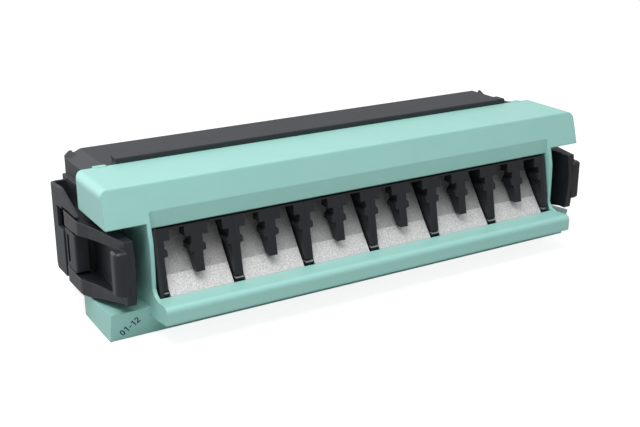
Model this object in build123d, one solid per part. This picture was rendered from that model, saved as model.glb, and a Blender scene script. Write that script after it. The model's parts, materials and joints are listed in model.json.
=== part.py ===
from build123d import *
import math
import os

os.makedirs("parts", exist_ok=True)

# Working frame: X = 0 in the middle, Y = 0 and Z = 0 at the latch teeth of the ports, +Y to the rear.
# The parts are moved to the bottom centre of the whole pack when they are exported.

# Port array
duplex_count = 6
duplex_pitch = 12.5
port_pitch = duplex_pitch / 2
rake = math.tan(math.radians(11.5))
seam = 0.01
side_wall = 0.7
floor_top = -6.4
floor_bottom = -7.2
ceiling = 3.9
roof = 4.4
front_frame_rear = 2.6
joint_plane = 13.85
middle_wall = 1.25
adapter_rear = 24.7
rear_frame = 2.5
short_divider_foot = -3.2
floor_front = 1.0
key_slot_top = -5.0

# Stepped port opening, half widths and heights
slot_half = 1.255
slot_foot = 2.3
notch_half = 2.195
notch_foot = 1.2
tooth_half = 1.805
tooth_top = 0.8
port_half = 2.405
port_top = -0.2

# Ferrule bores, with the split sleeve and its holder in one
ferrule_axis = -2.65
ferrule_r = 0.625
bore_length = 6.8
holder_across = 2.7

# Shutters
hinge_y = -0.73
hinge_z = -6.55
shutter_side_gap = 0.28
sheet = 0.25
lower_angle = 51
upper_angle = 54
lower_length = 3.6
upper_length = 6.9
tip_round = 0.3
shutter_pin_r = 0.35
pin_clearance = 0.05
pin_hold = 0.02
key_top = -5.3
key_reach = 0.37
body_gap = 0.35

# Front bezel
end_block = 6.25
hood_top = 11.2
hood_bottom = 5.5
hood_front_low = 0.3
hood_front_high = 2.0
hood_rear = 13.06
hood_round = 1.4
hood_front_round = 0.4
hood_corner_round = 1.2
bezel_wall = 1.5
bezel_floor = 1.3
window_clearance = 0.32
window_wall = 0.65
window_top = 4.45
reveal_top = 7.15
reveal_y = 1.0
reveal_round = 0.5
lip_front = -5.7
lip_top_front = -5.67
lip_top_rear = -5.9
lip_rear_y = -1.42
lip_under_front = -8.55
lip_under_rear = -9.4
base_bottom = -12.5
base_front_low = 1.5
base_front_high = 0.31
block_top = -7.64
block_top_rear = -8.15
groove_y = -1.78
groove_floor = -7.6
groove_lean = 0.5
nose_clearance = 0.15
side_fold_y = 6.0
side_taper = 0.15
base_corner = 0.9
tab_out = 3.1
tab_width = 2.1
tab_reach = 0.7
tab_rise = 0.05

# Rear housing
housing_front = 13.1
housing_rear = 24.8
housing_inset = 1.8
upper_inset = 0.55
housing_step_z = 7.4
housing_shoulder_z = 10.0
shoulder_slope = 2.75
housing_top = 11.15
housing_wall = 1.5
rib_inset = 1.75
rib_rear = 15.3
rib_top = 12.1
nose_wall = 0.66
nose_top_wall = 0.76
nose_bottom = -8.25
web = 1.2
bump_rise = 0.65
bump_length = 3.3

# Latches
latch_gap = 0.6
latch_depth = 2.2
latch_rear = 17.7
latch_top = 4.0
latch_bottom = -7.75
latch_front = -1.9
latch_bow = 0.6
latch_front_bottom = -6.0
latch_slope_start = 8.5
grip_inset = 4.4
grip_web = 1.0
shoulder_front = 10.4
pivot_y = 15.3
latch_pin_r = 0.5
latch_swing_gap = 0.3
post_front = 12.1
post_rear = 17.0
post_top = 1.3
post_bottom = -4.9
post_slot = 1.0
coil_bottom = -4.05
coil_top = 0.45
coil_space = 0.95
coil_wall = 0.15
coil_play = 0.03
tang_half = 0.12
tang_rise = 1.0
tang_swing = 0.15
wing_setback = 0.8
wing_inset = 0.2
wing = 0.65
wing_round = 1.3
wing_peak = 7.1
wing_peak_y = 18.4
wing_foot = -7.6
pad_top = 2.6
pad_bottom = -4.3
pad_edge = 0.3
scoop_top = 2.4
scoop_bottom = -5.35

# Half widths that follow from one another, from the row of ports out to the latches
array_half = duplex_count * duplex_pitch / 2
nose_inner_half = array_half + seam
nose_half = nose_inner_half + nose_wall
window_half = nose_half + window_clearance
window_outer = window_half + window_wall
bezel_half = window_outer + end_block
housing_half = bezel_half - housing_inset
housing_upper_half = housing_half - upper_inset
housing_flat_half = housing_upper_half - shoulder_slope
rib_half = housing_flat_half - rib_inset
latch_inner = housing_half + latch_gap
latch_outer = latch_inner + latch_depth
pivot_x = (latch_inner + latch_outer) / 2


def block(x0, x1, y0, y1, z0, z1):
    size = Box(abs(x1 - x0), y1 - y0, z1 - z0)
    return Pos((x0 + x1) / 2, (y0 + y1) / 2, (z0 + z1) / 2) * size


def outline(points, rounds=None):
    face = make_face(Polyline(*points, close=True))
    for index, radius in (rounds or {}).items():
        u, v = points[index]
        corner = face.vertices().sort_by_distance((u, v, 0))[0]
        face = fillet(corner, radius)
    return face


def along_x(face, x0, x1):
    return extrude(Plane.YZ.offset(x0) * face, x1 - x0)


def along_y(face, y0, y1):
    plane = Plane(origin=(0, y1, 0), x_dir=(1, 0, 0), z_dir=(0, -1, 0))
    return extrude(plane * face, y1 - y0)


def along_z(face, z0, z1):
    return extrude(Plane.XY.offset(z0) * face, z1 - z0)


def rod_x(y, z, r, x0, x1):
    return along_x(Pos(y, z) * Circle(r), x0, x1)


def rod_y(x, z, r, y0, y1):
    return along_y(Pos(x, z) * Circle(r), y0, y1)


def rod_z(x, y, r, z0, z1):
    return along_z(Pos(x, y) * Circle(r), z0, z1)


def both(shape):
    return shape + mirror(shape, about=Plane.YZ)


def edge_near(shape, axis, point):
    return shape.edges().filter_by(axis).sort_by_distance(point)[0]


# Front bezel: hood, window surround, shelf lip and base in one moulding
hood_slope = (hood_front_high - hood_front_low) / (hood_top - hood_bottom)
reveal_top_y = hood_front_low + hood_slope * (reveal_top - hood_bottom)
base_slope = (base_front_high - base_front_low) / (block_top - base_bottom)
lip_root_y = base_front_low + base_slope * (lip_under_rear - base_bottom)

hood_points = [
    (hood_front_low, hood_bottom),
    (hood_front_high, hood_top),
    (hood_rear, hood_top),
    (hood_rear, hood_bottom),
]
hood = along_x(outline(hood_points, {1: hood_front_round}), -bezel_half, bezel_half)
hood_face_points = [
    (-bezel_half, hood_bottom),
    (bezel_half, hood_bottom),
    (bezel_half, hood_top),
    (-bezel_half, hood_top),
]
hood_plan_points = [
    (-bezel_half, hood_front_low - 1),
    (bezel_half, hood_front_low - 1),
    (bezel_half, hood_rear),
    (-bezel_half, hood_rear),
]
hood &= along_y(outline(hood_face_points, {2: hood_round, 3: hood_round}), -1, hood_rear + 1)
hood_plan = outline(hood_plan_points, {2: hood_corner_round, 3: hood_corner_round})
hood &= along_z(hood_plan, hood_bottom, hood_top)

valance_points = [
    (reveal_y, window_top),
    (reveal_top_y, reveal_top),
    (reveal_top_y + bezel_wall, reveal_top),
    (reveal_y + bezel_wall, window_top),
]
valance = along_x(outline(valance_points), -window_outer, window_outer)
reveal_cut_points = [
    (-window_half, window_top - 3),
    (window_half, window_top - 3),
    (window_half, reveal_top),
    (-window_half, reveal_top),
]
reveal_cut_side = outline([
    (lip_front, reveal_top),
    (lip_front, window_top - 3),
    (reveal_y, window_top - 3),
    (reveal_y, window_top),
    (reveal_top_y, reveal_top),
])
reveal_face = outline(reveal_cut_points, {2: reveal_round, 3: reveal_round})
reveal_cut = along_y(reveal_face, lip_front, reveal_y + 1)
reveal_cut &= along_x(reveal_cut_side, -window_half, window_half)

base_points = [
    (base_front_low, base_bottom),
    (base_front_high, block_top),
    (side_fold_y, block_top_rear),
    (hood_rear, block_top_rear),
    (hood_rear, base_bottom),
]
base = along_x(outline(base_points, {0: 0.3}), -bezel_half, bezel_half)
taper_points = [
    (bezel_half, side_fold_y),
    (bezel_half + 1, side_fold_y),
    (bezel_half + 1, hood_rear + 1),
    (bezel_half - side_taper, hood_rear + 1),
]
base -= both(along_z(outline(taper_points), base_bottom - 1, block_top + 1))
corner_points = [
    (bezel_half - base_corner, base_front_low - 2),
    (bezel_half - base_corner, base_front_low),
    (bezel_half, base_front_low + base_corner),
    (bezel_half + 1, base_front_low + base_corner),
    (bezel_half + 1, base_front_low - 2),
]
corner_run = Vector(0, base_slope, 1) * (block_top + 1 - base_bottom)
base -= extrude(Plane.XY.offset(base_bottom) * outline(corner_points), corner_run.length, dir=corner_run)

lip_points = [
    (lip_rear_y, lip_top_rear),
    (lip_front, lip_top_front),
    (lip_front, lip_under_front),
    (lip_root_y, lip_under_rear),
    (base_front_low + 0.6, lip_under_rear),
    (base_front_low + 0.6, lip_top_rear - 1),
]
lip = along_x(outline(lip_points, {1: 0.9, 2: 0.5}), -window_outer, window_outer)

gusset_points = [
    (hood_front_low, hood_bottom),
    (-0.4, 2.4),
    (-0.5, 0),
    (-0.5, -4.5),
    (-1.1, -5.45),
    (-2.6, lip_top_rear + 0.08),
    (-2.6, -8.0),
    (hood_rear, -8.6),
    (hood_rear, hood_bottom + 0.5),
    (hood_front_low + 0.2, hood_bottom + 0.5),
]
gusset = along_x(outline(gusset_points, {1: 2.5, 3: 0.8, 4: 1.2}), window_half, window_outer)

tab_outer = bezel_half - tab_out
tab = block(
    tab_outer - tab_width, tab_outer, hood_rear - tab_reach / 2, hood_rear + tab_reach,
    hood_top - 0.04, hood_top + tab_rise,
)

inner_front = hood_front_low + bezel_wall
hood_space_points = [
    (inner_front + hood_slope * (hood_bottom + bezel_floor - hood_bottom), hood_bottom + bezel_floor),
    (inner_front + hood_slope * (hood_top - bezel_wall - hood_bottom), hood_top - bezel_wall),
    (hood_rear + 1, hood_top - bezel_wall),
    (hood_rear + 1, hood_bottom + bezel_floor),
]
hood_space = along_x(outline(hood_space_points), -bezel_half + bezel_wall, bezel_half - bezel_wall)
nose_space_bottom = nose_bottom - nose_clearance
nose_space = block(
    -window_half, window_half, reveal_y + bezel_wall, hood_rear + 1,
    nose_space_bottom, hood_bottom + bezel_floor + 0.5,
)
nose_space += block(
    -window_half, window_half, base_front_low - 0.6, reveal_y + bezel_wall + 1,
    nose_space_bottom, -5,
)
groove_points = [
    (lip_rear_y, lip_top_rear),
    (groove_y, lip_top_rear - groove_lean),
    (groove_y, groove_floor),
    (base_front_low + 1, groove_floor),
    (base_front_low + 1, lip_top_rear + 1),
    (lip_rear_y, lip_top_rear + 1),
]
groove = along_x(outline(groove_points), -window_half, window_half)
base_space = block(
    -bezel_half + bezel_wall + side_taper, bezel_half - bezel_wall - side_taper,
    base_front_low + bezel_wall, hood_rear + 1, base_bottom + bezel_wall, block_top_rear - bezel_floor,
)
base_space += block(
    -window_half, window_half,
    base_front_low + bezel_wall, hood_rear + 1, base_bottom + bezel_wall, nose_space_bottom + 0.5,
)

front_bezel = hood + valance + base + lip + both(gusset) + both(tab)
front_bezel = front_bezel - hood_space - nose_space - groove - base_space - reveal_cut

# Rear housing: outer shell, the nose that carries the port blocks, and the hinge posts and wings
nose_inner_top = roof + seam
nose_inner_bottom = floor_bottom - seam
nose_floor_front = base_front_low - 0.3

shell_points = [
    (-housing_half, base_bottom),
    (housing_half, base_bottom),
    (housing_half, housing_step_z),
    (housing_upper_half, housing_step_z),
    (housing_upper_half, housing_shoulder_z),
    (housing_flat_half, housing_top),
    (-housing_flat_half, housing_top),
    (-housing_upper_half, housing_shoulder_z),
    (-housing_upper_half, housing_step_z),
    (-housing_half, housing_step_z),
]
shell = along_y(outline(shell_points, {0: 1.0, 1: 1.0}), housing_front, housing_rear)
inner_half = housing_upper_half - housing_wall
inner_flat = housing_flat_half - housing_wall / 2
shell_space_points = [
    (-inner_half, base_bottom + housing_wall),
    (inner_half, base_bottom + housing_wall),
    (inner_half, housing_shoulder_z - housing_wall),
    (inner_flat, housing_top - housing_wall),
    (-inner_flat, housing_top - housing_wall),
    (-inner_half, housing_shoulder_z - housing_wall),
]
shell_space = along_y(outline(shell_space_points), housing_front - 1, housing_rear - housing_wall)

nose_side_points = [
    (rake * (roof - 0.1), roof - 0.1),
    (rake * floor_bottom, floor_bottom),
    (nose_floor_front, floor_bottom),
    (nose_floor_front, nose_bottom),
    (housing_rear, nose_bottom),
    (housing_rear, nose_inner_top + nose_top_wall),
    (reveal_y + bezel_wall + 0.3, nose_inner_top + nose_top_wall),
    (reveal_y + bezel_wall + 0.3, roof - 0.1),
]
nose = along_x(outline(nose_side_points), -nose_half, nose_half)
nose_corner_points = [
    (nose_half - 0.5, roof + 0.1),
    (nose_half + 0.1, roof + 0.1),
    (nose_half + 0.1, roof - 0.7),
]
nose -= both(along_y(outline(nose_corner_points), -2, reveal_y + bezel_wall))
nose_space = block(
    -nose_inner_half, nose_inner_half, -3, housing_rear + 1, nose_inner_bottom, nose_inner_top,
)
rib = block(-rib_half, rib_half, housing_front, rib_rear, housing_top - 0.1, rib_top)
rib = fillet(edge_near(rib, Axis.X, (0, housing_front, rib_top)), 0.2)
slope_rise = housing_top - housing_shoulder_z
bump_points = [
    (housing_upper_half, housing_shoulder_z - bump_rise),
    (housing_upper_half, housing_shoulder_z + 0.5 * bump_rise),
    (housing_upper_half - 0.25 * shoulder_slope, housing_shoulder_z + 0.25 * slope_rise + bump_rise),
    (housing_upper_half - 0.45 * shoulder_slope, housing_shoulder_z + 0.45 * slope_rise + bump_rise),
    (housing_upper_half - 0.65 * shoulder_slope, housing_shoulder_z - bump_rise),
]
rear_plane = Plane(origin=(0, housing_rear, 0), x_dir=(1, 0, 0), z_dir=(0, -1, 0))
bump_face = rear_plane * outline(bump_points, {2: 0.3, 3: 0.3})
bump_run = Vector(-bump_rise, -bump_length, -1.5 * bump_rise)
bump = extrude(bump_face, bump_run.length, dir=bump_run)

webs = Part()
for x in (-array_half / 2, array_half / 2):
    for z0, z1 in ((nose_inner_top, housing_top - 1), (base_bottom + 1, nose_inner_bottom)):
        webs += block(x - web / 2, x + web / 2, housing_front + 0.4, housing_rear - 1, z0, z1)

post = block(housing_half - 0.5, latch_outer, post_front, post_rear, post_bottom, post_top)
post -= block(
    housing_half - 1, latch_inner, post_front - 1, housing_front + 0.1, post_bottom - 1, post_top + 1,
)
post = fillet(edge_near(post, Axis.Z, (latch_outer, post_rear, 0)), 0.8)
post = fillet(edge_near(post, Axis.Z, (latch_outer, post_front, 0)), 0.3)
post -= rod_z(pivot_x, pivot_y, latch_pin_r + pin_hold, post_bottom - 1, post_top + 1)
coil_pocket = block(
    pivot_x - coil_space, pivot_x + coil_space, pivot_y - coil_space, pivot_y + coil_space,
    coil_bottom - 0.1, coil_top + 0.1,
)
coil_pocket += block(
    pivot_x, latch_outer + 1, pivot_y - post_slot / 2, pivot_y + post_slot / 2,
    coil_bottom - 0.1, coil_top + 0.1,
)
tang_y = pivot_y + latch_pin_r + coil_play + coil_wall - tang_half
tang_hole = tang_half + pin_clearance
post -= coil_pocket + block(
    pivot_x - tang_hole, pivot_x + tang_hole, tang_y - tang_hole, tang_y + tang_hole,
    coil_bottom - 0.6, post_top + 1,
)

wing_rear = housing_rear - wing_setback
wing_outer = latch_outer - wing_inset
wing_under = latch_top + latch_swing_gap + 0.05
wing_front_low = latch_rear + latch_swing_gap + 0.1
wing_points = [
    (wing_rear, wing_peak - 0.4),
    (wing_peak_y, wing_peak),
    (wing_peak_y - 5.8, wing_under + 0.7),
    (wing_peak_y - 7.1, wing_under),
    (wing_front_low, wing_under),
    (wing_front_low, latch_top - 0.2),
    (wing_front_low + 2.4, latch_top - 0.2),
    (wing_front_low + 2.4, latch_top - 3.8),
    (wing_front_low, latch_top - 3.8),
    (wing_front_low, wing_foot),
    (wing_rear - 1.5, wing_foot),
    (wing_rear, wing_foot + 2.2),
]
wing_plan_points = [
    (housing_half - 0.5, wing_rear),
    (wing_outer, wing_rear),
    (wing_outer, post_front - 1),
    (wing_outer - wing, post_front - 1),
    (wing_outer - wing, wing_rear - wing),
    (housing_half - 0.5, wing_rear - wing),
]
wing_plate = along_x(outline(wing_points, {1: 1.5, 10: 0.6}), housing_half - 0.5, wing_outer)
wing_plate &= along_z(
    outline(wing_plan_points, {1: wing_round, 4: wing_round - wing}), latch_bottom, housing_step_z,
)
hinge_side = post + wing_plate

rear_housing = shell - shell_space + nose + rib + webs + both(bump)
rear_housing += both(hinge_side)
rear_housing -= nose_space


# Port openings and the two halves of a port block
def port_opening(foot):
    right = [
        (slot_half, ceiling),
        (slot_half, slot_foot),
        (notch_half, slot_foot),
        (notch_half, notch_foot),
        (tooth_half, tooth_top),
        (tooth_half, 0),
        (port_half, port_top),
        (port_half, foot),
    ]
    left = [(-x, z) for x, z in reversed(right)]
    return outline(right + left)


port_centres = (-port_pitch / 2, port_pitch / 2)
block_half = duplex_pitch / 2 - seam
cavity_half = duplex_pitch / 2 - (port_pitch / 2 - port_half)
shutter_half = cavity_half - shutter_side_gap

flap_low = (math.cos(math.radians(lower_angle)), math.sin(math.radians(lower_angle)))
flap_high = (math.cos(math.radians(upper_angle)), math.sin(math.radians(upper_angle)))
knuckle_r = shutter_pin_r + pin_clearance + sheet


def flap_side(offset):
    start = (hinge_y - offset * flap_low[1], hinge_z + offset * flap_low[0])
    bend = (start[0] + lower_length * flap_low[0], start[1] + lower_length * flap_low[1])
    tip = (bend[0] + upper_length * flap_high[0], bend[1] + upper_length * flap_high[1])
    return start, bend, tip


adapter_front = block(-block_half, block_half, -2, joint_plane, floor_bottom, roof)
raked_points = [
    (-3, roof + 1),
    (rake * (roof + 1), roof + 1),
    (rake * (floor_bottom - 1), floor_bottom - 1),
    (-3, floor_bottom - 1),
]
adapter_front -= along_x(outline(raked_points), -block_half - 1, block_half + 1)
front_cavity_rear = joint_plane - middle_wall
adapter_front -= block(
    -cavity_half, cavity_half, front_frame_rear, front_cavity_rear, floor_top, ceiling,
)
for x in port_centres:
    adapter_front -= along_y(Pos(x, 0) * port_opening(floor_bottom - 1), -3, front_frame_rear + 0.5) \
        - block(-block_half, block_half, floor_front, front_frame_rear + 1, floor_bottom - 2, floor_top)
# Room for the shutter behind and below the short middle divider
guard_start, guard_bend, guard_tip = flap_side(knuckle_r + body_gap)
room_points = [
    (-3, short_divider_foot),
    (guard_bend[0] + (short_divider_foot - guard_bend[1]) / math.tan(math.radians(upper_angle)),
     short_divider_foot),
    guard_tip,
    (front_frame_rear + 3, guard_tip[1]),
    (front_frame_rear + 3, floor_top),
    (floor_front, floor_top),
    (floor_front, floor_bottom - 1),
    (-3, floor_bottom - 1),
]
room = along_x(outline(room_points), -cavity_half, cavity_half)
key_slot = block(
    cavity_half - 0.1, block_half + 1, -3, hinge_y + key_reach + pin_hold,
    hinge_z - key_reach - pin_hold, key_slot_top,
)
adapter_front = adapter_front - room - both(key_slot)


def holders(y0, y1):
    shape = Part()
    for x in port_centres:
        holder = RegularPolygon(holder_across / 2, 8, major_radius=False, rotation=22.5)
        shape += along_y(Pos(x, ferrule_axis) * holder, y0, y1)
    return shape


bores = Part()
for x in port_centres:
    bores += rod_y(x, ferrule_axis, ferrule_r, joint_plane - bore_length, joint_plane + bore_length)
adapter_front = adapter_front + holders(joint_plane - bore_length / 2, joint_plane) - bores

adapter_back = block(-block_half, block_half, joint_plane, adapter_rear, floor_bottom, roof)
divider_half = port_pitch / 2 - port_half
rear_cavity_half = (cavity_half - divider_half) / 2
for side in (-1, 1):
    adapter_back -= block(
        side * divider_half, side * cavity_half, joint_plane + middle_wall, adapter_rear - rear_frame,
        floor_top, ceiling,
    )
for x in port_centres:
    adapter_back -= along_y(Pos(x, 0) * port_opening(floor_top + 0.1), adapter_rear - rear_frame - 0.5,
                            adapter_rear + 1)
adapter_back = adapter_back + holders(joint_plane, joint_plane + bore_length / 2) - bores

# Shutter: bent spring sheet, rolled around its pin
front_start, front_bend, front_tip = flap_side(knuckle_r)
rear_start, rear_bend, rear_tip = flap_side(knuckle_r - sheet)
shutter = along_x(
    outline([front_start, front_bend, front_tip, rear_tip, rear_bend, rear_start]),
    -shutter_half, shutter_half,
)
shutter += rod_x(hinge_y, hinge_z, knuckle_r, -shutter_half, shutter_half)
shutter -= rod_x(hinge_y, hinge_z, shutter_pin_r + pin_clearance, -shutter_half - 1, shutter_half + 1)
for side in (-1, 1):
    tip_edges = shutter.edges().sort_by_distance((side * shutter_half, rear_tip[0], rear_tip[1]))
    corner = [e for e in tip_edges if abs(e.length - sheet) < 0.01][0]
    shutter = fillet(corner, tip_round)

# Shutter pin, with an upright key at each end that fills the slot in the block's side wall
shutter_pin = rod_x(hinge_y, hinge_z, shutter_pin_r, -block_half + seam, block_half - seam)
shutter_pin += both(block(
    cavity_half + seam, block_half - seam, hinge_y - key_reach, hinge_y + key_reach,
    hinge_z - key_reach, key_top,
))

# Latch lever, right-hand side
grip_inner = latch_outer - grip_inset
grip_floor = grip_inner + grip_web
plan_points = [
    (latch_inner, latch_rear),
    (latch_outer, latch_rear),
    (latch_outer, shoulder_front),
    (latch_outer - 0.9, shoulder_front - 2.4),
    (latch_outer - 1.7, shoulder_front - 5.4),
    (latch_outer - 3.05, latch_front + 0.5),
    (latch_outer - 3.3, latch_front),
    (grip_inner, latch_front),
    (grip_inner, post_front + 0.2),
    (latch_inner, post_front + 0.6),
]
plan_rounds = {0: 0.7, 1: 1.4, 2: 2.5, 3: 3, 8: 0.3}
lever = along_z(outline(plan_points, plan_rounds), latch_bottom - 1, latch_top)
side_edges = Polyline(
    (latch_front + latch_bow, latch_top),
    (latch_rear + 1, latch_top),
    (latch_rear + 1, latch_bottom),
    (latch_slope_start, latch_bottom),
    (0, latch_front_bottom),
    (latch_front + latch_bow, latch_front_bottom),
)
front_edge = ThreePointArc(
    (latch_front + latch_bow, latch_front_bottom),
    (latch_front, (latch_top + latch_front_bottom) / 2),
    (latch_front + latch_bow, latch_top),
)
lever &= along_x(make_face(side_edges + front_edge), grip_inner - 1, latch_outer + 1)

pad_outer = latch_outer - 1.4
pad_rear = latch_front + 2.5
pad = block(grip_floor, pad_outer, latch_front, pad_rear, pad_bottom, pad_top)
pad = fillet(edge_near(pad, Axis.Z, (pad_outer, latch_front, -1)), 0.9)
pad = fillet(edge_near(pad, Axis.Z, (pad_outer, pad_rear, -1)), 0.6)
pad = chamfer(pad.faces().sort_by(Axis.Z)[-1].edges(), pad_edge)
pad = chamfer(pad.faces().sort_by(Axis.Z)[0].edges(), pad_edge)

scoop_front = latch_front + 2.7
scoop_plan_points = [
    (grip_floor, post_front + 1),
    (grip_floor, shoulder_front - 2.4),
    (grip_floor + 0.3, scoop_front + 3.2),
    (grip_floor + 0.7, scoop_front),
    (latch_outer + 1, scoop_front),
    (latch_outer + 1, post_front + 1),
]
scoop_side_points = [
    (scoop_front, scoop_top),
    (post_front + 1, scoop_top - 0.7),
    (post_front + 1, scoop_bottom),
    (scoop_front, scoop_bottom + 0.35),
]
scoop = along_z(outline(scoop_plan_points, {1: 3, 2: 3}), latch_bottom, latch_top)
scoop &= along_x(outline(scoop_side_points, {0: 0.5, 3: 0.5}), grip_inner, latch_outer + 2)
post_space = block(
    latch_inner - latch_swing_gap, latch_outer + 1, post_front - latch_swing_gap, latch_rear + 1,
    post_bottom - latch_swing_gap, post_top + latch_swing_gap,
)
latch_right = lever - scoop + pad - post_space
latch_pin_top = latch_top - 0.5
latch_pin_bottom = latch_bottom + 0.15
latch_right -= rod_z(
    pivot_x, pivot_y, latch_pin_r + pin_clearance, latch_bottom - 1, latch_pin_top + 0.1,
)
tang_room = tang_half + tang_swing
latch_right -= block(
    pivot_x - tang_room, pivot_x + tang_room, tang_y - tang_room, tang_y + tang_room,
    post_top, post_top + tang_rise + 0.2,
)

latch_pin = rod_z(pivot_x, pivot_y, latch_pin_r, latch_pin_bottom, latch_pin_top)

latch_coil_r = latch_pin_r + coil_play
latch_spring = rod_z(pivot_x, pivot_y, latch_coil_r + coil_wall, coil_bottom, coil_top)
latch_spring += block(
    pivot_x - tang_half, pivot_x + tang_half, tang_y - tang_half, tang_y + tang_half,
    coil_bottom - 0.4, post_top + tang_rise,
)
latch_spring -= rod_z(pivot_x, pivot_y, latch_coil_r, coil_bottom - 1, coil_top + 2)

# Export in the shared frame
to_frame = Pos(0, -(lip_front + housing_rear) / 2, -base_bottom)


def save(shape, name):
    export_step(to_frame * shape, "parts/" + name + ".step")


def mirrored(shape):
    return mirror(shape, about=Plane.YZ)


save(front_bezel, "front_bezel")
save(rear_housing, "rear_housing")
for index in range(duplex_count):
    number = str(index + 1)
    x = (index - (duplex_count - 1) / 2) * duplex_pitch
    save(Pos(x, 0, 0) * adapter_front, "adapter_front_" + number)
    save(Pos(x, 0, 0) * adapter_back, "adapter_back_" + number)
    save(Pos(x, 0, 0) * shutter, "shutter_" + number)
    save(Pos(x, 0, 0) * shutter_pin, "shutter_pin_" + number)

save(latch_right, "latch_right")
save(mirrored(latch_right), "latch_left")
save(latch_pin, "latch_pin_right")
save(mirrored(latch_pin), "latch_pin_left")
save(latch_spring, "latch_spring_right")
save(mirrored(latch_spring), "latch_spring_left")
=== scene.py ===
import json
import math

import bmesh
import bpy
from mathutils import Matrix, Vector


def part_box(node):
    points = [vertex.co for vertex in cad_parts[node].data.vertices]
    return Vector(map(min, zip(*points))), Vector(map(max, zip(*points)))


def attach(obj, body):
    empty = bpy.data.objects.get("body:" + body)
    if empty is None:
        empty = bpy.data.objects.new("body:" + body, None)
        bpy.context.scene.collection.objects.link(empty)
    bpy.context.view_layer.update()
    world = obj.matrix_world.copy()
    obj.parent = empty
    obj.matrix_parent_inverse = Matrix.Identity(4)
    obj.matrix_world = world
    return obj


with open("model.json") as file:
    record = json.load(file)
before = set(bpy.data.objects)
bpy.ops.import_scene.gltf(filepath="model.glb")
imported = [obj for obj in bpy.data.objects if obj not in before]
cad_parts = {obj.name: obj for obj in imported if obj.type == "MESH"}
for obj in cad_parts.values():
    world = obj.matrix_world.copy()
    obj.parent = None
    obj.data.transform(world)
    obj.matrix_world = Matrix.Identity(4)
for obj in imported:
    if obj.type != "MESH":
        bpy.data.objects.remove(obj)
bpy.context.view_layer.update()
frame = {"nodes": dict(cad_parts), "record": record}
nodes = frame["nodes"]
scene = bpy.context.scene

# Forms are drawn in millimetres, and Blender works in metres
MM = 0.001

# The teeth of the ports, from which the fronts are measured
teeth_y = -9.55
teeth_z = 12.5


# Building blocks of the materials and the studio light
def ranged(tree, value, from_low, from_high, to_low, to_high):
    """Map a value from one range to another, whose ends may be values of other nodes"""
    node = tree.nodes.new("ShaderNodeMapRange")
    node.inputs["From Min"].default_value = from_low
    node.inputs["From Max"].default_value = from_high
    for end, source in (("To Min", to_low), ("To Max", to_high)):
        if isinstance(source, bpy.types.NodeSocket):
            tree.links.new(source, node.inputs[end])
        else:
            node.inputs[end].default_value = source
    tree.links.new(value, node.inputs["Value"])
    return node.outputs["Result"]


def combined(tree, operation, first, second):
    node = tree.nodes.new("ShaderNodeMath")
    node.operation = operation
    tree.links.new(first, node.inputs[0])
    tree.links.new(second, node.inputs[1])
    return node.outputs["Value"]


def part_of(tree, vector, axis):
    node = tree.nodes.new("ShaderNodeSeparateXYZ")
    tree.links.new(vector, node.inputs["Vector"])
    return node.outputs[axis]


# Materials: every surface is procedural, with its textures in the part's own space. Texture scales
# count per metre, and depths, edges and heights are in millimetres
noise_low = 0.3
noise_high = 0.7
cloud_scale = 160.0
edge_samples = 6
height_blend = 0.05
steel_grain = 4000.0
steel_streak = 200.0
steel_roughness_play = 0.06
steel_bump = 0.2
steel_depth = 0.01


def new_material(name):
    material = bpy.data.materials.new(name)
    material.use_nodes = True
    tree = material.node_tree
    return material, tree, tree.nodes["Principled BSDF"]


def own_space(tree):
    return tree.nodes.new("ShaderNodeTexCoord").outputs["Object"]


def noise(tree, vector, scale, detail=2.0, roughness=0.5):
    node = tree.nodes.new("ShaderNodeTexNoise")
    node.inputs["Scale"].default_value = scale
    node.inputs["Detail"].default_value = detail
    node.inputs["Roughness"].default_value = roughness
    tree.links.new(vector, node.inputs["Vector"])
    return node.outputs["Fac"]


def spread(tree, value, low, high):
    """Noise stretched over the range from low to high"""
    return ranged(tree, value, noise_low, noise_high, low, high)


def around(tree, value, middle, play):
    """Noise stretched by the play to both sides of the middle"""
    return spread(tree, value, middle - play, middle + play)


def by_height(tree, split, low, high):
    """The low value below the split height of the part, the high one above it"""
    height = part_of(tree, own_space(tree), "Z")
    return ranged(tree, height, (split - height_blend) * MM, (split + height_blend) * MM, low, high)


def tinted(tree, value, colour):
    node = tree.nodes.new("ShaderNodeVectorMath")
    node.operation = "SCALE"
    node.inputs[0].default_value = colour
    tree.links.new(value, node.inputs["Scale"])
    return node.outputs["Vector"]


def bumped(tree, shader, height, strength, depth, edge=0):
    """Raise the surface by the height value, and round its edges off by the edge radius"""
    bump = tree.nodes.new("ShaderNodeBump")
    bump.inputs["Strength"].default_value = strength
    bump.inputs["Distance"].default_value = depth * MM
    tree.links.new(height, bump.inputs["Height"])
    if edge:
        rounding = tree.nodes.new("ShaderNodeBevel")
        rounding.samples = edge_samples
        rounding.inputs["Radius"].default_value = edge * MM
        tree.links.new(rounding.outputs["Normal"], bump.inputs["Normal"])
    tree.links.new(bump.outputs["Normal"], shader.inputs["Normal"])


def moulded(name, colour, roughness, grain, depth, edge, specular, mottle):
    """Moulded surface with a fine grain and a faint cloudy mottle"""
    roughness_play = 0.05
    bump = 0.35
    material, tree, shader = new_material(name)
    space = own_space(tree)
    fine = noise(tree, space, grain, detail=3.0, roughness=0.6)
    cloud = noise(tree, space, cloud_scale, detail=3.0, roughness=0.55)
    tree.links.new(tinted(tree, around(tree, cloud, 1, mottle), colour), shader.inputs["Base Color"])
    tree.links.new(around(tree, fine, roughness, roughness_play), shader.inputs["Roughness"])
    shader.inputs["Specular IOR Level"].default_value = specular
    bumped(tree, shader, fine, bump, depth, edge)
    return material


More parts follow.
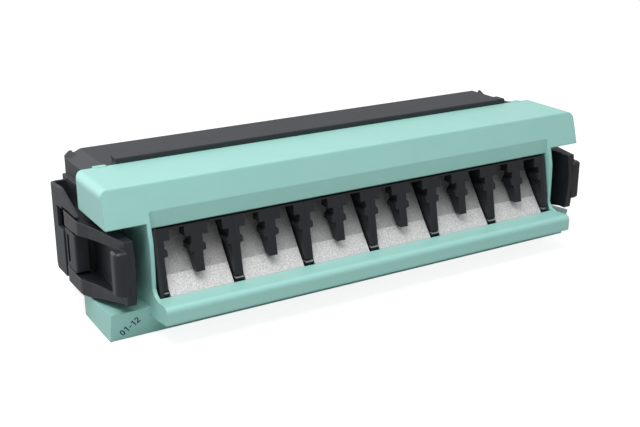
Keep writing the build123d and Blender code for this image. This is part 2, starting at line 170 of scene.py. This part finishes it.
def blasted(name, colour, roughness, grain, depth, metallic, mottle, bend, painted_shade_above_bend):
    """Blasted sheet with fine and coarse grains, and painted shade that darkens it above its bend"""
    coarse_scale = 0.35
    coarse_mottle = 0.6
    roughness_play = 0.08
    bump = 0.6
    material, tree, shader = new_material(name)
    space = own_space(tree)
    fine = noise(tree, space, grain, detail=4.0, roughness=0.7)
    coarse = noise(tree, space, grain * coarse_scale, detail=2.0, roughness=0.6)
    grains = combined(tree, "MULTIPLY", around(tree, fine, 1, mottle),
                      around(tree, coarse, 1, mottle * coarse_mottle))
    # Painted shade: above the bend height the grains are darkened, standing in for the shade inside the port
    shade = combined(tree, "MULTIPLY", grains, by_height(tree, bend, 1.0, painted_shade_above_bend))
    tree.links.new(tinted(tree, shade, colour), shader.inputs["Base Color"])
    tree.links.new(around(tree, fine, roughness, roughness_play), shader.inputs["Roughness"])
    shader.inputs["Metallic"].default_value = metallic
    bumped(tree, shader, fine, bump, depth)
    return material


def drawn(name, colour, roughness, metallic):
    """Steel with fine lines along its height"""
    line_low = 0.9
    line_high = 1.08
    material, tree, shader = new_material(name)
    stretch = tree.nodes.new("ShaderNodeMapping")
    stretch.inputs["Scale"].default_value = (steel_grain, steel_grain, steel_streak)
    tree.links.new(own_space(tree), stretch.inputs["Vector"])
    lines = noise(tree, stretch.outputs["Vector"], 1.0)
    tone = spread(tree, lines, line_low, line_high)
    tree.links.new(tinted(tree, tone, colour), shader.inputs["Base Color"])
    tree.links.new(around(tree, lines, roughness, steel_roughness_play), shader.inputs["Roughness"])
    shader.inputs["Metallic"].default_value = metallic
    bumped(tree, shader, lines, steel_bump, steel_depth)
    return material


def keyed(name, colour, roughness, metallic, specular, mottle, split, painted_shade_below):
    """Steel with a painted glint above the split height, and painted shade that darkens it below"""
    material, tree, shader = new_material(name)
    fine = noise(tree, own_space(tree), steel_grain)
    # Painted glint above the split height and painted shade below it, where the lip shades the pin end
    shade = combined(tree, "MULTIPLY", around(tree, fine, 1, mottle), by_height(tree, split, painted_shade_below, 1.0))
    tree.links.new(tinted(tree, shade, colour), shader.inputs["Base Color"])
    tree.links.new(around(tree, fine, roughness, steel_roughness_play), shader.inputs["Roughness"])
    shader.inputs["Metallic"].default_value = metallic
    shader.inputs["Specular IOR Level"].default_value = specular
    bumped(tree, shader, fine, steel_bump, steel_depth)
    return material


aqua = moulded("aqua_moulding", (0.325, 0.63, 0.575), roughness=0.42, grain=5200,
               depth=0.03, edge=0.25, specular=0.5, mottle=0.015)
charcoal = moulded("charcoal_moulding", (0.018, 0.020, 0.025), roughness=0.56, grain=4200,
                   depth=0.04, edge=0.22, specular=0.42, mottle=0.06)
latch_black = moulded("latch_moulding", (0.009, 0.010, 0.014), roughness=0.45, grain=4200,
                      depth=0.04, edge=0.3, specular=0.42, mottle=0.06)
port_black = moulded("port_moulding", (0.013, 0.014, 0.017), roughness=0.50, grain=5200,
                     depth=0.03, edge=0.08, specular=0.32, mottle=0.06)
# The shutters' upper leaf carries painted shade above the bend height
shutter_steel = blasted("blasted_shutter", (0.655, 0.645, 0.65), roughness=0.5, grain=11000,
                        depth=0.02, metallic=0.35, mottle=0.36, bend=9.12, painted_shade_above_bend=0.64)
pin_steel = drawn("ground_pin", (0.26, 0.25, 0.26), roughness=0.55, metallic=0.3)
# The pin ends carry a painted glint above the split height and painted shade below it
key_steel = keyed("keyed_pin_end", (0.46, 0.45, 0.46), roughness=0.45, metallic=0.7, specular=0.2,
                  mottle=0.15, split=7.02, painted_shade_below=0.07)
spring_steel = drawn("spring_wire", (0.42, 0.43, 0.45), roughness=0.32, metallic=1.0)
ceramic = moulded("white_ceramic", (0.62, 0.61, 0.57), roughness=0.25, grain=6000,
                  depth=0.01, edge=0, specular=0.6, mottle=0.03)
# Near-black for the strip of painted shade under the window's top edge
painted_shade_black = moulded("painted_gap_shade", (0.001, 0.001, 0.0012), roughness=0.8, grain=5200,
                    depth=0.01, edge=0, specular=0.05, mottle=0.1)
ink = moulded("print_ink", (0.015, 0.035, 0.035), roughness=0.5, grain=4200,
              depth=0.01, edge=0, specular=0.3, mottle=0.08)

# The first start of a node's name that fits gives its finish
finishes = [
    ("front_bezel", aqua),
    ("rear_housing", charcoal),
    ("adapter_", port_black),
    ("shutter_pin_", key_steel),
    ("shutter_", shutter_steel),
    ("latch_pin_", pin_steel),
    ("latch_spring_", spring_steel),
    ("latch_", latch_black),
]
for name, node in nodes.items():
    finish = next(material for start, material in finishes if name.startswith(start))
    node.data.materials.clear()
    node.data.materials.append(finish)


# Building blocks of the objects made here
def add_object(name, data):
    item = bpy.data.objects.new(name, data)
    scene.collection.objects.link(item)
    return item


def aim(item, towards):
    item.rotation_euler = towards.to_track_quat("-Z", "Y").to_euler()


def skin(shape, rings, closed=False):
    """Join rings of four corners by faces, and cap both ends unless the last ring meets the first"""
    following = rings[1:] + rings[:1] if closed else rings[1:]
    for ring, after in zip(rings, following):
        for k in range(4):
            shape.faces.new((ring[k], ring[(k + 1) % 4], after[(k + 1) % 4], after[k]))
    if not closed:
        shape.faces.new(reversed(rings[0]))
        shape.faces.new(rings[-1])


def finished(name, shape, material):
    """Piece made of a closed shape that was drawn in millimetres"""
    bmesh.ops.recalc_face_normals(shape, faces=shape.faces)
    bmesh.ops.scale(shape, vec=(MM, MM, MM), verts=shape.verts)
    data = bpy.data.meshes.new(name)
    shape.to_mesh(data)
    shape.free()
    data.materials.append(material)
    return add_object(name, data)


# Port numbers printed on the front of the base's left block, running up to the right
label = "01-12"
digit_height = 1.16
digit_width = 0.66
stroke = 0.18
advances = {"0": 0.84, "1": 0.68, "-": 0.66, "2": 0.66}
ring_steps = 32
stem_shift = 0.03
flag_reach = 0.28
flag_height = 0.78
bowl_steps = 16
bowl_first = 165
bowl_last = -40
dash_height = 0.42
dash_start = 0.06
dash_end = digit_width - 0.16
mitre_limit = 0.5
ink_depth = 0.01
ink_lift = 0.005
label_x = -42.45
label_z = 2.2
label_turn = math.radians(38)
base_foot_y = teeth_y + 1.5
base_crest_y = teeth_y + 0.31
base_crest_z = teeth_z - 7.64
same_point = 1e-6


def arc(centre_x, centre_y, radius_x, radius_y, first, last, steps):
    angles = [math.radians(first + (last - first) * i / steps) for i in range(steps + 1)]
    return [(centre_x + radius_x * math.cos(a), centre_y + radius_y * math.sin(a)) for a in angles]


def strokes_of(sign):
    """Lines of points through the middle of each stroke"""
    middle = digit_width / 2
    inset = stroke / 2
    if sign == "0":
        half_height = digit_height / 2
        return [arc(middle, half_height, middle - inset, half_height - inset, 0, 360, ring_steps)]
    if sign == "1":
        stem = middle + stem_shift
        flag = (stem - flag_reach, digit_height * flag_height)
        return [[flag, (stem, digit_height - inset), (stem, 0)]]
    if sign == "2":
        bowl = middle - inset
        bowl_middle = digit_height - inset - bowl
        curve = arc(middle, bowl_middle, bowl, bowl, bowl_first, bowl_last, bowl_steps)
        return [curve + [(inset, inset), (digit_width, inset)]]
    return [[(dash_start, digit_height * dash_height), (dash_end, digit_height * dash_height)]]


def ribbon(shape, points):
    """A closed flat bar of ink along the points, with mitred corners"""
    path = [Vector(point) for point in points]
    closed = (path[0] - path[-1]).length < same_point
    if closed:
        path = path[:-1]
    rings = []
    for i, point in enumerate(path):
        before = path[i - 1] if closed or i else point
        after = path[(i + 1) % len(path)] if closed or i + 1 < len(path) else point
        ahead = (after - point).normalized() if after != point else (point - before).normalized()
        behind = (point - before).normalized() if before != point else ahead
        tangent = (ahead + behind).normalized()
        reach = stroke / 2 / max(tangent.dot(ahead), mitre_limit)
        side = Vector((-tangent.y, tangent.x)) * reach
        corners = [(point + side, 0), (point - side, 0), (point - side, ink_depth), (point + side, ink_depth)]
        rings.append([shape.verts.new((p.x, p.y, z)) for p, z in corners])
    skin(shape, rings, closed)


label_shape = bmesh.new()
left = -sum(advances[sign] for sign in label) / 2
for sign in label:
    for points in strokes_of(sign):
        ribbon(label_shape, [(x + left, y - digit_height / 2) for x, y in points])
    left += advances[sign]

face_up = Vector((0, base_crest_y - base_foot_y, base_crest_z)).normalized()
face_right = Vector((1, 0, 0))
face_out = face_right.cross(face_up)
along = face_right * math.cos(label_turn) + face_up * math.sin(label_turn)
across = face_up * math.cos(label_turn) - face_right * math.sin(label_turn)
centre = Vector((label_x, base_foot_y, 0)) + face_up * (label_z / face_up.z)
centre = (centre + face_out * ink_lift) * MM
numbers = finished("port_numbers", label_shape, ink)
numbers.matrix_world = Matrix((
    (along.x, across.x, face_out.x, centre.x),
    (along.y, across.y, face_out.y, centre.y),
    (along.z, across.z, face_out.z, centre.z),
    (0, 0, 0, 1),
))
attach(numbers, "pack")


# Painted shade: a thin matt black strip along the top of the raked port fronts, under the window's top edge
shade_strip_height = 0.22
shade_strip_depth = 0.05
shade_strip_ahead = 0.012
port_rake = math.tan(math.radians(11.5))

ports_low, ports_high = Vector(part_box("adapter_front_1")[0]), Vector(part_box("adapter_front_6")[1])
shade_strip_top = ports_high.z / MM
shade_strip_bottom = shade_strip_top - shade_strip_height
shade_strip_shape = bmesh.new()
shade_strip_rings = []
for x in (ports_low.x / MM, ports_high.x / MM):
    ring = []
    for z, inward in ((shade_strip_bottom, 0), (shade_strip_top, 0), (shade_strip_top, shade_strip_depth), (shade_strip_bottom, shade_strip_depth)):
        front = port_rake * (z - teeth_z) + teeth_y - shade_strip_ahead
        ring.append(shade_strip_shape.verts.new((x, front + inward, z)))
    shade_strip_rings.append(ring)
skin(shade_strip_shape, shade_strip_rings)
shade_strip_piece = finished("window_top_painted_shade", shade_strip_shape, painted_shade_black)
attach(shade_strip_piece, "pack")


# Split ceramic sleeves, which line the ferrule bores from mouth to mouth
sleeve_inner = 0.61
sleeve_outer = 0.80
sleeve_proud = 0.015
slit_half = math.radians(11)
sleeve_sides = 32


def sleeve(name, centre, length):
    """A tube along Y with a slit on top"""
    end = length / 2
    section = ((sleeve_inner, -end), (sleeve_outer, -end), (sleeve_outer, end), (sleeve_inner, end))
    first = math.pi / 2 + slit_half
    turn = 2 * math.pi - 2 * slit_half
    shape = bmesh.new()
    rings = []
    for i in range(sleeve_sides + 1):
        angle = first + turn * i / sleeve_sides
        points = [Vector((radius * math.cos(angle), y, radius * math.sin(angle))) for radius, y in section]
        rings.append([shape.verts.new(centre + point) for point in points])
    skin(shape, rings)
    return finished(name, shape, ceramic)


for mount in frame["record"]["mounts"]:
    if mount["name"].startswith("ferrule_bore_"):
        number = mount["name"].rsplit("_", 1)[1]
        liner = sleeve("ferrule_sleeve_" + number, Vector(mount["pos_m"]) / MM,
                       mount["dims"]["length_mm"] + 2 * sleeve_proud)
        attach(liner, "pack")


# Pale paper floor, which glows for the camera alone and keeps the object's shadow
floor_half = 1.5
paper_bounced = 0.62
paper_seen = 0.30
glow_bounced = 0.0
glow_seen = 0.86

floor_mesh = bpy.data.meshes.new("floor")
floor_corners = [(-floor_half, -floor_half, 0), (floor_half, -floor_half, 0),
                 (floor_half, floor_half, 0), (-floor_half, floor_half, 0)]
floor_mesh.from_pydata(floor_corners, [], [(0, 1, 2, 3)])
floor = add_object("floor", floor_mesh)
paper, paper_tree, paper_shader = new_material("paper")
paper_shader.inputs["Roughness"].default_value = 0.9
paper_shader.inputs["Specular IOR Level"].default_value = 0.0
seen_directly = paper_tree.nodes.new("ShaderNodeLightPath").outputs["Is Camera Ray"]
paper_tree.links.new(ranged(paper_tree, seen_directly, 0, 1, paper_bounced, paper_seen),
                     paper_shader.inputs["Base Color"])
paper_tree.links.new(ranged(paper_tree, seen_directly, 0, 1, glow_bounced, glow_seen),
                     paper_shader.inputs["Emission Strength"])
floor_mesh.materials.append(paper)


# Studio: white for the camera, even for diffuse light, and brighter on the left and in two soft
# patches for reflections
backdrop = 1.0
even_light = 0.45
left_reflection = 1.10
right_reflection = 0.52
patch_rim = 0.80
patch_core = 0.96
back_patch = (-0.45, 0.85, 0.28)
back_patch_strength = 1.6
top_patch = (0.2, 0.0, 1.0)
top_patch_strength = 1.0

world = bpy.data.worlds.new("studio")
scene.world = world
world.use_nodes = True
studio = world.node_tree
background = studio.nodes["Background"]
background.inputs["Color"].default_value = (1, 1, 1, 1)
ray_kind = studio.nodes.new("ShaderNodeLightPath")
direction = studio.nodes.new("ShaderNodeTexCoord").outputs["Generated"]


def with_patch(base, towards, strength):
    """The base with a soft round patch of extra light around one direction"""
    facing = studio.nodes.new("ShaderNodeVectorMath")
    facing.operation = "DOT_PRODUCT"
    facing.inputs[1].default_value = Vector(towards).normalized()
    studio.links.new(direction, facing.inputs[0])
    patch = ranged(studio, facing.outputs["Value"], patch_rim, patch_core, 0, strength)
    return combined(studio, "ADD", base, patch)


reflected = ranged(studio, part_of(studio, direction, "X"), -1, 1, left_reflection, right_reflection)
reflected = with_patch(reflected, back_patch, back_patch_strength)
reflected = with_patch(reflected, top_patch, top_patch_strength)
lighting = ranged(studio, ray_kind.outputs["Is Glossy Ray"], 0, 1, even_light, reflected)
seen = combined(studio, "MAXIMUM", ray_kind.outputs["Is Camera Ray"], ray_kind.outputs["Is Transmission Ray"])
studio.links.new(ranged(studio, seen, 0, 1, lighting, backdrop), background.inputs["Strength"])


# Key light, high on the left in front
key = bpy.data.lights.new("key", "AREA")
key.energy = 0.98
key.size = 0.20
key_object = add_object("key", key)
key_object.location = (-0.115, -0.060, 0.325)
key_target = Vector((-0.02, 0.0, 0.01))
aim(key_object, key_target - key_object.location)

# Camera
yaw = math.radians(30.948)
pitch = math.radians(19.58)
camera_data = bpy.data.cameras.new("camera")
camera_data.sensor_width = 36
camera_data.lens = 59.03
camera_data.clip_start = 0.005
camera = add_object("camera", camera_data)
camera.location = Vector((-91.127, -144.971, 70.585)) * MM
aim(camera, Vector((math.sin(yaw) * math.cos(pitch), math.cos(yaw) * math.cos(pitch), -math.sin(pitch))))
scene.camera = camera

scene.view_settings.view_transform = "Standard"
